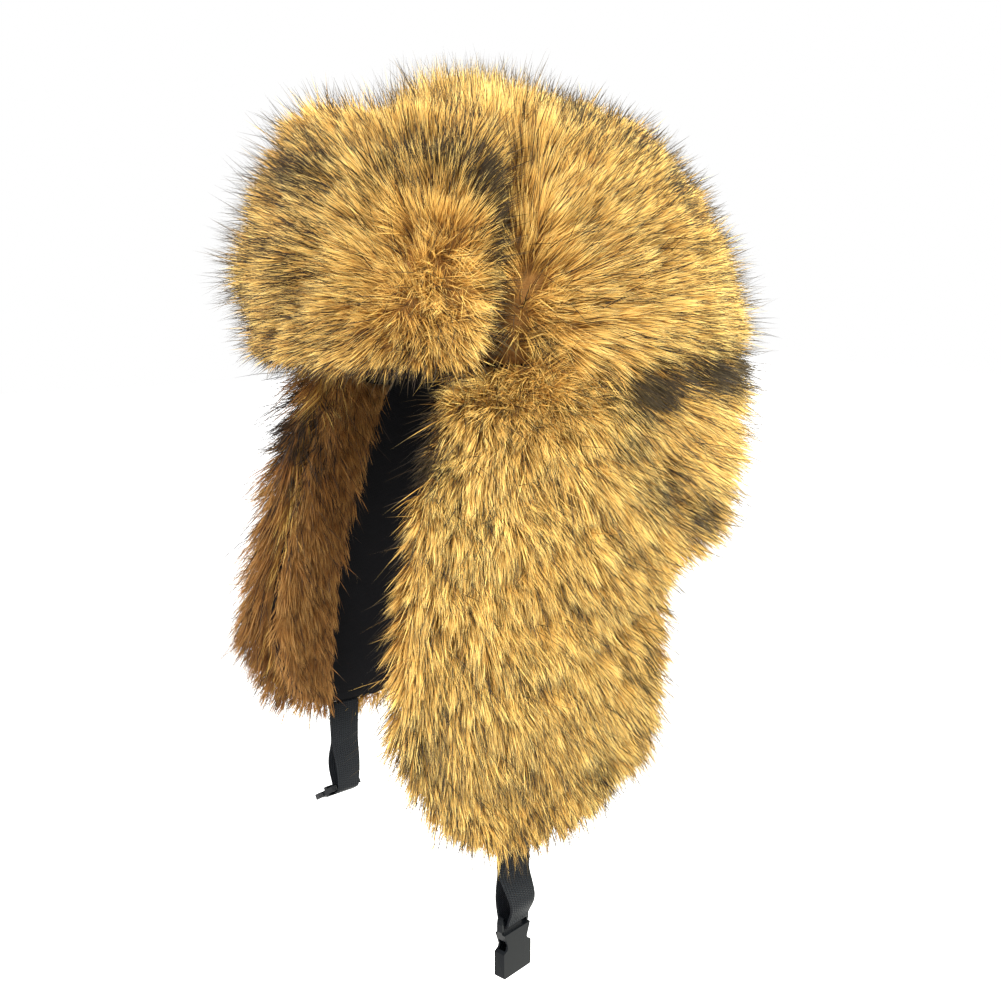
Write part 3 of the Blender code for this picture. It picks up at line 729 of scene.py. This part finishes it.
def front_reach(points, normals):
    """Short along the top, the bottom and the ends, and longest on the wearer's right."""
    top = np.clip(normals[:, 2], 0, 1)
    bottom = np.clip(-normals[:, 2], 0, 1)
    end = np.clip(normals[:, 1], 0, 1)
    low = ease(0.050, 0.005, points[:, 2])
    right = ease(0.02, -0.05, points[:, 0]) * ease(0.02, 0.06, points[:, 2])
    return np.clip(1.0 - 0.66 * top - 0.50 * bottom - 0.42 * low - 0.50 * end + 0.34 * right, 0.22, 1.4)


def forward_edge(normals):
    """1 on an ear flap's front edge, easing to 0 on its face."""
    return ease(0.55, 0.90, -normals[:, 1])


def near_ear_reach(points, normals):
    bottom = ease(0.15, 0.90, -normals[:, 2]) * ease(-0.13, -0.19, points[:, 2])
    low = ease(-0.16, -0.22, points[:, 2])
    back = ease(0.5, 0.9, normals[:, 1]) * ease(-0.08, -0.12, points[:, 2])
    return np.clip(1 - 0.72 * forward_edge(normals) - 0.70 * bottom - 0.40 * low + 0.75 * back, 0.20, 1.6)


def far_ear_reach(points, normals):
    bottom = ease(0.15, 0.90, -normals[:, 2]) * ease(-0.12, -0.17, points[:, 2])
    forward = forward_edge(normals) * mix(0.40, 0.90, ease(-0.16, -0.02, points[:, 2]))
    inner = mix(0.95, 0.10, ease(-0.085, -0.055, points[:, 1]))
    return np.clip(1 + forward - inner * bottom, 0.18, 1.9)


def neck_reach(points, normals):
    bottom = ease(0.05, 0.80, -normals[:, 2])
    low = ease(-0.075, -0.11, points[:, 2])
    back = ease(0.02, 0.07, points[:, 1])
    return np.clip(1.05 + 0.30 * back - 0.70 * bottom - 0.35 * low, 0.22, 1.5)


# Materials


def principled(name, colour, roughness, specular=0.5):
    material = bpy.data.materials.new(name)
    material.use_nodes = True
    shader = material.node_tree.nodes["Principled BSDF"]
    shader.inputs["Base Color"].default_value = (*colour, 1.0)
    shader.inputs["Roughness"].default_value = roughness
    shader.inputs["Specular IOR Level"].default_value = specular
    return material, shader


def ramp(tree, stops, source, interpolation="LINEAR"):
    node = tree.nodes.new("ShaderNodeValToRGB")
    node.color_ramp.interpolation = interpolation
    elements = node.color_ramp.elements
    while len(elements) < len(stops):
        elements.new(0.5)
    for element, (place, colour) in zip(elements, stops):
        element.position = place
        element.color = (*colour, 1.0) if hasattr(colour, "__len__") else (colour, colour, colour, 1.0)
    tree.links.new(source, node.inputs["Fac"])
    return node.outputs["Color"]


def maths(tree, operation, *values):
    node = tree.nodes.new("ShaderNodeMath")
    node.operation = operation
    for socket, value in zip(node.inputs, values):
        if isinstance(value, (int, float)):
            socket.default_value = value
        else:
            tree.links.new(value, socket)
    return node.outputs[0]


def blend(tree, share, first, second):
    node = tree.nodes.new("ShaderNodeMix")
    node.data_type = "RGBA"
    for name, value in (("Factor", share), ("A", first), ("B", second)):
        kind = "VALUE" if name == "Factor" else "RGBA"
        socket = next(s for s in node.inputs if s.name == name and s.type == kind)
        if isinstance(value, tuple):
            socket.default_value = (*value, 1.0)
        elif isinstance(value, (int, float)):
            socket.default_value = value
        else:
            tree.links.new(value, socket)
    return next(s for s in node.outputs if s.type == "RGBA")


def fur_material(name, pale, deep, dark):
    """Strand colour from the strand's kind and shade, along u, and from root to tip, along v."""
    material, shader = principled(name, pale[1][1], 0.58, 0.16)
    tree = material.node_tree
    uv = tree.nodes.new("ShaderNodeUVMap")
    uv.uv_map = "OFBake"
    split = tree.nodes.new("ShaderNodeSeparateXYZ")
    tree.links.new(uv.outputs["UV"], split.inputs["Vector"])
    u, v = split.outputs["X"], split.outputs["Y"]
    scaled = maths(tree, "MULTIPLY", u, 4.0)
    shade = maths(tree, "FRACT", scaled)
    golden = blend(tree, shade, ramp(tree, deep, v), ramp(tree, pale, v))
    start = ramp(tree, ((0.0, 0.97), (0.25, 0.80), (0.50, 0.46), (0.75, 0.10)), u, "CONSTANT")
    tip = maths(tree, "DIVIDE", maths(tree, "SUBTRACT", v, start), 0.22)
    tip = maths(tree, "MINIMUM", maths(tree, "MAXIMUM", tip, 0.0), 1.0)
    amount = ramp(tree, ((0.0, 0.0), (0.25, 0.45), (0.50, 0.90), (0.75, 0.97)), u, "CONSTANT")
    colour = blend(tree, maths(tree, "MULTIPLY", tip, amount), golden, dark)
    tree.links.new(colour, shader.inputs["Base Color"])
    return material


def underfur_material(name, low, high):
    # Its own rust colour, kept dark so the gaps between strands look shaded, partly painted shade; the
    # noise that raises it also darkens its hollows, painted shade too
    material, shader = principled(name, low, 0.85, 0.2)
    tree = material.node_tree
    place = tree.nodes.new("ShaderNodeTexCoord")
    noise = tree.nodes.new("ShaderNodeTexNoise")
    noise.inputs["Scale"].default_value = 260.0
    noise.inputs["Detail"].default_value = 5.0
    tree.links.new(place.outputs["Object"], noise.inputs["Vector"])
    tree.links.new(blend(tree, noise.outputs["Fac"], low, high), shader.inputs["Base Color"])
    bump = tree.nodes.new("ShaderNodeBump")
    bump.inputs["Strength"].default_value = 0.9
    bump.inputs["Distance"].default_value = 0.0015
    tree.links.new(noise.outputs["Fac"], bump.inputs["Height"])
    tree.links.new(bump.outputs["Normal"], shader.inputs["Normal"])
    return material


def lining_material():
    """Black lining cloth with a fine twill."""
    material, shader = principled("black_lining", (0.004, 0.004, 0.005), 0.72, 0.05)
    shader.inputs["Sheen Weight"].default_value = 0.02
    shader.inputs["Sheen Roughness"].default_value = 0.45
    tree = material.node_tree
    place = tree.nodes.new("ShaderNodeTexCoord")
    heights = []
    for direction in ((1.0, 0.4, 1.0), (1.0, 0.4, -1.0)):
        turn = tree.nodes.new("ShaderNodeVectorMath")
        turn.operation = "DOT_PRODUCT"
        tree.links.new(place.outputs["Object"], turn.inputs[0])
        turn.inputs[1].default_value = direction
        heights.append(maths(tree, "SINE", maths(tree, "MULTIPLY", turn.outputs["Value"], 6200.0)))
    height = maths(tree, "MAXIMUM", *heights)
    bump = tree.nodes.new("ShaderNodeBump")
    bump.inputs["Strength"].default_value = 0.5
    bump.inputs["Distance"].default_value = 0.0002
    tree.links.new(height, bump.inputs["Height"])
    tree.links.new(bump.outputs["Normal"], shader.inputs["Normal"])
    tree.links.new(ramp(tree, ((0.0, 0.80), (1.0, 0.60)), height), shader.inputs["Roughness"])
    return material


def webbing_material():
    """Black woven webbing: ribs along its length crossed by fine threads, from the band's own UV map."""
    material, shader = principled("black_webbing", (0.009, 0.010, 0.011), 0.46, 0.12)
    tree = material.node_tree
    uv = tree.nodes.new("ShaderNodeUVMap")
    uv.uv_map = "OFBake"
    split = tree.nodes.new("ShaderNodeSeparateXYZ")
    tree.links.new(uv.outputs["UV"], split.inputs["Vector"])
    across = maths(tree, "SINE", maths(tree, "MULTIPLY", split.outputs["X"], WEBBING_RIBS * 2 * math.pi))
    turned = maths(tree, "ADD", maths(tree, "MULTIPLY", split.outputs["Y"], WEBBING_THREADS), maths(
        tree, "MULTIPLY", split.outputs["X"], WEBBING_RIBS * math.pi))
    down = maths(tree, "SINE", turned)
    height = maths(tree, "ADD", maths(tree, "MULTIPLY", across, 0.5), maths(tree, "MULTIPLY", down, 0.5))
    bump = tree.nodes.new("ShaderNodeBump")
    bump.inputs["Strength"].default_value = 0.7
    bump.inputs["Distance"].default_value = 0.0003
    tree.links.new(height, bump.inputs["Height"])
    tree.links.new(bump.outputs["Normal"], shader.inputs["Normal"])
    # Darker in the grooves of the weave, as painted shade
    level = maths(tree, "MULTIPLY_ADD", height, 0.5, 0.5)
    colour = ramp(tree, ((0.0, (0.002, 0.002, 0.003)), (1.0, (0.011, 0.014, 0.018))), level)
    tree.links.new(colour, shader.inputs["Base Color"])
    return material


def plastic_material():
    material, shader = principled("black_plastic", (0.0040, 0.0050, 0.0062), 0.24, 0.12)
    tree = material.node_tree
    place = tree.nodes.new("ShaderNodeTexCoord")
    noise = tree.nodes.new("ShaderNodeTexNoise")
    noise.inputs["Scale"].default_value = 2400.0
    tree.links.new(place.outputs["Object"], noise.inputs["Vector"])
    bump = tree.nodes.new("ShaderNodeBump")
    bump.inputs["Strength"].default_value = 0.25
    bump.inputs["Distance"].default_value = 0.0002
    tree.links.new(noise.outputs["Fac"], bump.inputs["Height"])
    tree.links.new(bump.outputs["Normal"], shader.inputs["Normal"])
    return material


# Root to tip: darker towards the root, partly the hair's own rust base and partly painted shade where the
# tufts part
PALE_FUR = (
    (0.00, (0.24, 0.105, 0.022)),
    (0.40, (0.58, 0.33, 0.075)),
    (0.75, (0.92, 0.64, 0.19)),
    (1.00, (0.95, 0.76, 0.32)),
)
DEEP_FUR = (
    (0.00, (0.13, 0.052, 0.012)),
    (0.40, (0.34, 0.155, 0.032)),
    (0.75, (0.66, 0.37, 0.080)),
    (1.00, (0.78, 0.50, 0.14)),
)
# Painted shade: darker fur for the far ear flap's forward-looking hairs and its trim, which lie in shade
PALE_SHADED_FUR = (
    (0.00, (0.11, 0.042, 0.010)),
    (0.40, (0.33, 0.15, 0.036)),
    (1.00, (0.62, 0.36, 0.12)),
)
DEEP_SHADED_FUR = (
    (0.00, (0.055, 0.020, 0.006)),
    (0.40, (0.18, 0.070, 0.017)),
    (1.00, (0.36, 0.165, 0.042)),
)
DARK_HAIR = (0.012, 0.009, 0.008)


# Pieces


def front_keep(points):
    """The front flap's fur ends at the rim near the ear flaps and hangs a little below it between them."""
    hang = FRONT_FLAP_HANG * (1 - ease(0.045, 0.065, np.abs(points[:, 0])))
    return np.stack((points[:, 0], points[:, 1], np.maximum(points[:, 2], 0.004 - hang)), axis=-1)


def in_window(angle, rise):
    """1 where the front flap covers the crown, easing to 0 round it."""
    wrapped = np.abs((angle + 180) % 360 - 180)
    return (1 - ease(48, 58, wrapped)) * (1 - ease(44, 53, rise))


def build_crown(fur, under, lining, chance):
    rises = np.concatenate([np.linspace(0.3, 80, 34), [84, 87]])
    shell = dome_pad(lambda a, r: -SHELL_WALL + 0 * a, lambda a, r: 0 * a, DOME_COLUMNS, rises)
    piece = mesh_piece("crown_lining", shell[0], shell[1], lining, shell[3])
    join_hat(piece, "lining", "crown_shell")

    def depth(angle, rise):
        return mix(UNDERFUR, THIN_UNDERFUR, in_window(angle, rise))

    body = dome_pad(lambda a, r: FUR_GAP + 0 * a, depth, DOME_COLUMNS, rises, chance, LUMP_HEIGHT)
    join_hat(mesh_piece("crown_underfur", body[0], body[1], under, body[3]), "long_fur", "crown_fur")
    centre = body[0][body[1]].mean(axis=1)
    angle = np.degrees(np.arctan2(centre[:, 0], -centre[:, 1]))
    rise = np.degrees(np.arcsin(np.clip(centre[:, 2] / HEAD_HEIGHT, 0, 1) ** (DOME_POWER / 2)))
    growth = body[2] * (1 - 0.94 * in_window(angle, rise) ** 0.5)
    grow_coat("crown", "crown_fur", (body[0], body[1], growth), crown_comb, fur, chance, 0.10, crown_reach)


def build_front_flap(fur, under, lining, chance):
    across = np.linspace(-FRONT_FLAP_ANGLE, FRONT_FLAP_ANGLE, 40)
    down = np.linspace(1.2, FRONT_FLAP_TOP_RISE, 20)
    every = ("first_column", "last_column", "first_row", "last_row")
    cloth = pad(front_place, across, down, -SHELL_WALL, 0.0)
    join_hat(mesh_piece("front_flap_lining", cloth[0], cloth[1], lining), "lining", "front_flap_shell")

    def place(angle, rise, height):
        thick = mix(FRONT_UNDERFUR, FRONT_END_UNDERFUR, np.abs(angle / FRONT_FLAP_ANGLE) ** 3)
        return front_place(angle, rise, FUR_GAP + height * thick)

    body = pad(place, across, down, 0.0, 1.0, FRONT_SWELL, every, front_keep, LUMP_HEIGHT, chance)
    join_hat(mesh_piece("front_flap_underfur", body[0], body[1], under), "long_fur", "front_flap_fur")
    grow_coat("front_flap", "front_flap_fur", body, front_comb, fur, chance, 0.02, front_reach)


def near_swell(points):
    """Little past the flap's lower end and its upper front edge."""
    high = mix(0.0015, EDGE_SWELL, ease(-0.08, -0.15, points[:, 2]))
    return mix(high, 0.0015, ease(-0.16, -0.21, points[:, 2]))


def far_swell(points):
    """Well forward over the flap's upper part, and little past its lower end."""
    return mix(0.034, 0.002, ease(0.0, -0.185, points[:, 2]))


def build_ear_flap(name, side, fur, under, lining, chance):
    place = ear_place(side)
    across = np.linspace(0, 1, 24)
    down = np.linspace(0.002, 1, 44)
    free = ("first_column", "last_row")
    cloth = pad(place, across, down, -SHELL_WALL, 0.0)
    join_hat(mesh_piece(name + "_lining", cloth[0], cloth[1], lining), "lining", name + "_shell")
    swell = near_swell if side > 0 else far_swell
    body = pad(place, across, down, FUR_GAP, UNDERFUR, swell, free, None, LUMP_HEIGHT, chance)
    join_hat(mesh_piece(name + "_underfur", body[0], body[1], under), "long_fur", name + "_fur")
    reach = near_ear_reach if side > 0 else far_ear_reach
    # Painted light and shade: the near flap's hairs are lighter, the far flap's darker
    grow_coat(name, name + "_fur", body, ear_comb(side), fur, chance, 0.14 if side > 0 else -0.06, reach)

    def inner(across_share, down_share, height):
        return place(across_share, down_share, -SHELL_WALL - height)

    band, low = across[:TRIM_COLUMNS], down[TRIM_FIRST_ROW:]
    edge = pad(inner, band, low, FUR_GAP, TRIM_UNDERFUR, swell, free, None, TRIM_LUMP_HEIGHT, chance)
    join_hat(mesh_piece(name + "_trim_underfur", edge[0], edge[1], under), "long_fur", name + "_trim")
    # The far flap's trim gets the fur in painted shade
    trim = fur[1] if side < 0 else fur
    grow_coat(name + "_trim", name + "_trim", edge, ear_comb(side), trim, chance)


def build_neck_flap(fur, under, lining, chance):
    across = np.linspace(0, 1, 56)
    down = np.linspace(0.002, 1, 22)
    cloth = pad(neck_place, across, down, -SHELL_WALL, 0.0)
    join_hat(mesh_piece("neck_flap_lining", cloth[0], cloth[1], lining), "lining", "neck_flap_shell")

    def fur_place(across_share, down_share, height):
        seam = np.abs(2 * across_share - 1) ** 4
        return neck_place(across_share, down_share * mix(NECK_FUR_DOWN, 1.0, seam), height)

    free = ("last_row",)
    body = pad(fur_place, across, down, FUR_GAP, UNDERFUR, NECK_SWELL, free, None, LUMP_HEIGHT, chance)
    join_hat(mesh_piece("neck_flap_underfur", body[0], body[1], under), "long_fur", "neck_flap_fur")
    grow_coat("neck_flap", "neck_flap_fur", body, neck_comb, fur, chance, 0.06, neck_reach)


def dress_buckles(material):
    """Rounds the buckles' edges and gives them their plastic."""
    for name in ("buckle_socket", "buckle_prongs"):
        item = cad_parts[name]
        item.data.materials.clear()
        item.data.materials.append(material)
        weld = item.modifiers.new("weld", "WELD")
        weld.merge_threshold = 0.00001
        bevel = item.modifiers.new("round_edges", "BEVEL")
        bevel.width = 0.00035
        bevel.segments = 2
        bevel.limit_method = "ANGLE"
        bevel.angle_limit = math.radians(30)
        bevel.harden_normals = True


def strap_path(length):
    """Middle line of the webbing's loop, seen from its edge: away from the head and height."""
    neck = WEBBING / 2 + STRAP_GAP / 2
    heights = np.concatenate([[-WEBBING], np.linspace(-STRAP_HIDDEN, -length, 26)])
    share = np.clip((-heights - STRAP_HIDDEN) / (length - STRAP_HIDDEN), 0, 1)
    half = mix(neck, LOOP_RADIUS, ease(0.0, 1.0, share))
    belly = np.sin(math.pi * share) ** 1.3
    front = np.stack((half + STRAP_BULGE * belly, heights), axis=-1)
    back = np.stack((-half - BACK_BULGE_SHARE * STRAP_BULGE * belly, heights), axis=-1)[::-1]
    turns = np.linspace(0, math.pi, 15)[1:-1]
    under = np.stack((LOOP_RADIUS * np.cos(turns), -length - LOOP_RADIUS * np.sin(turns)), axis=-1)
    return np.concatenate([front, under, back, [(0.0, neck - WEBBING)]])


def band_section(half, thick):
    """Cross section of webbing, from one rounded edge to the other and back: across and out."""
    round_turns = np.radians((90, 54, 18, -18, -54, -90))
    wide = half - thick + thick * np.cos(round_turns)
    edge = np.stack((wide, thick * np.sin(round_turns)), axis=-1)
    return np.concatenate([edge, -edge])


def strap_band(name, side, length, turn, material):
    """A smooth webbing loop in the strap's own place, turned on its way down."""
    top = ear_place(side)(STRAP_SHARE, 1.0, -SHELL_WALL * 1.5 - STRAP_INSET + SHELL_WALL)
    path = strap_path(length)
    tangent = unit(np.roll(path, -1, axis=0) - np.roll(path, 1, axis=0))
    normal = np.stack((-tangent[:, 1], tangent[:, 0]), axis=-1)
    heights = path[:, 1]
    half = mix(STRAP_TOP_WIDTH, STRAP_END_WIDTH, ease(0.0, 1.0, -heights / length)) / 2
    angle = np.radians(turn) * ease(STRAP_HIDDEN, length, -heights)
    section = np.stack([band_section(h, WEBBING / 2) for h in half])
    wide = section[..., 0]
    out = path[:, None, 0] + section[..., 1] * normal[:, None, 0]
    up = heights[:, None] + section[..., 1] * normal[:, None, 1]
    across = wide * np.cos(angle)[:, None] - out * np.sin(angle)[:, None]
    away = wide * np.sin(angle)[:, None] + out * np.cos(angle)[:, None]
    points = np.stack((side * away, -side * across, up), axis=-1)
    points = points + np.array((top[0], top[1], top[2] - STRAP_GAP))
    rings, each = wide.shape
    index = np.arange(rings * each).reshape(rings, each)
    ahead = np.roll(index, -1, axis=0)
    beside = np.roll(index, -1, axis=1)
    ahead_beside = np.roll(ahead, -1, axis=1)
    quads = np.stack((index, beside, ahead_beside, ahead), axis=-1).reshape(-1, 4)
    points = points.reshape(-1, 3)
    corners = points[quads]
    middle = corners.mean(axis=1) - np.repeat(points.reshape(rings, each, 3).mean(axis=1), each, axis=0)
    cross = np.cross(corners[:, 2] - corners[:, 0], corners[:, 3] - corners[:, 1])
    if (cross * middle).sum() < 0:
        quads = quads[:, ::-1]
    item = mesh_piece(name, points, quads, material)
    run = np.concatenate([[0.0], np.cumsum(np.linalg.norm(np.diff(path, axis=0), axis=1))])
    layer = item.data.uv_layers.new(name="OFBake")
    corner_points = np.array([loop.vertex_index for loop in item.data.loops])
    ring, spot = corner_points // each, corner_points % each
    uv = np.stack((0.5 + wide[ring, spot] / STRAP_TOP_WIDTH, run[ring] / (2.2 * length)), axis=-1)
    layer.data.foreach_set("uv", uv.astype(np.float32).ravel())
    return item


def dress_straps(material):
    straps = (
        ("strap_left", 1.0, LEFT_STRAP, LEFT_TURN),
        ("strap_right", -1.0, RIGHT_STRAP, RIGHT_TURN),
    )
    for name, side, length, turn in straps:
        join_hat(strap_band(name + "_webbing", side, length, turn, material), "webbing", name)


# Stage


def view_axes():
    turn, tilt = math.radians(VIEW_AZIMUTH), math.radians(VIEW_ELEVATION)
    back = Vector((math.sin(turn) * math.cos(tilt), -math.cos(turn) * math.cos(tilt), math.sin(tilt)))
    right = Vector((math.cos(turn), math.sin(turn), 0.0))
    return right, back.cross(right), back


def add_camera():
    right, up, back = view_axes()
    data = bpy.data.cameras.new("camera")
    data.sensor_width = SENSOR
    data.lens = FOCAL_PIXELS / IMAGE_PIXELS * SENSOR
    item = bpy.data.objects.new("camera", data)
    item.location = VIEW_TARGET + back * VIEW_DISTANCE
    item.rotation_mode = "QUATERNION"
    item.rotation_quaternion = (-back).to_track_quat("-Z", "Y")
    bpy.context.scene.collection.objects.link(item)
    bpy.context.scene.camera = item


def add_light(name, place, size, energy, colour):
    """A soft square light aimed at the hat; place is right, up and back from it as the camera sees it."""
    right, up, back = view_axes()
    data = bpy.data.lights.new(name, "AREA")
    data.size = size
    data.energy = energy
    data.color = colour
    item = bpy.data.objects.new(name, data)
    offset = right * place[0] + up * place[1] + back * place[2]
    item.location = VIEW_TARGET + offset
    item.rotation_mode = "QUATERNION"
    item.rotation_quaternion = offset.to_track_quat("Z", "Y")
    bpy.context.scene.collection.objects.link(item)


def shown_white(tree, shown, lit):
    """A strength that is one value to the camera and another to the light that reaches the hat."""
    path = tree.nodes.new("ShaderNodeLightPath")
    node = tree.nodes.new("ShaderNodeMapRange")
    node.inputs["To Min"].default_value = lit
    node.inputs["To Max"].default_value = shown
    tree.links.new(path.outputs["Is Camera Ray"], node.inputs["Value"])
    return node.outputs["Result"]


def add_world():
    world = bpy.data.worlds.new("studio")
    world.use_nodes = True
    bpy.context.scene.world = world
    background = world.node_tree.nodes["Background"]
    background.inputs["Color"].default_value = (1.0, 1.0, 1.0, 1.0)
    glow = shown_white(world.node_tree, SHOWN_WHITE, WORLD_LIGHT)
    world.node_tree.links.new(glow, background.inputs["Strength"])


def add_floor():
    data = bpy.data.meshes.new("floor")
    signs = ((-1, -1), (1, -1), (1, 1), (-1, 1))
    corners = [(FLOOR_HALF * x, FLOOR_HALF * y, FLOOR_LEVEL) for x, y in signs]
    data.from_pydata(corners, [], [(0, 1, 2, 3)])
    item = bpy.data.objects.new("floor", data)
    bpy.context.scene.collection.objects.link(item)
    material, shader = principled("pale_floor", (0.9, 0.9, 0.9), 0.9, 0.0)
    shader.inputs["Emission Color"].default_value = (1.0, 1.0, 1.0, 1.0)
    glow = shown_white(material.node_tree, SHOWN_WHITE, 0.0)
    material.node_tree.links.new(glow, shader.inputs["Emission Strength"])
    data.materials.append(material)


def add_stage():
    add_camera()
    add_world()
    add_floor()
    for light in LIGHTS:
        add_light(*light)
    scene = bpy.context.scene
    scene.view_settings.view_transform = "Standard"
    scene.view_settings.look = "None"


def main():
    chance = np.random.default_rng(FUR_SEED)
    fur = fur_material("long_fur", PALE_FUR, DEEP_FUR, DARK_HAIR)
    # The fur in painted shade, for the far ear flap
    painted_shade_fur = fur_material("shaded_fur", PALE_SHADED_FUR, DEEP_SHADED_FUR, DARK_HAIR)
    under = underfur_material("underfur", (0.16, 0.070, 0.018), (0.32, 0.155, 0.042))
    lining = lining_material()
    build_crown(fur, under, lining, chance)
    build_front_flap(fur, under, lining, chance)
    build_ear_flap("ear_flap_left", 1.0, fur, under, lining, chance)
    build_ear_flap("ear_flap_right", -1.0, (fur, painted_shade_fur), under, lining, chance)
    build_neck_flap(fur, under, lining, chance)
    dress_straps(webbing_material())
    dress_buckles(plastic_material())
    add_stage()


main()
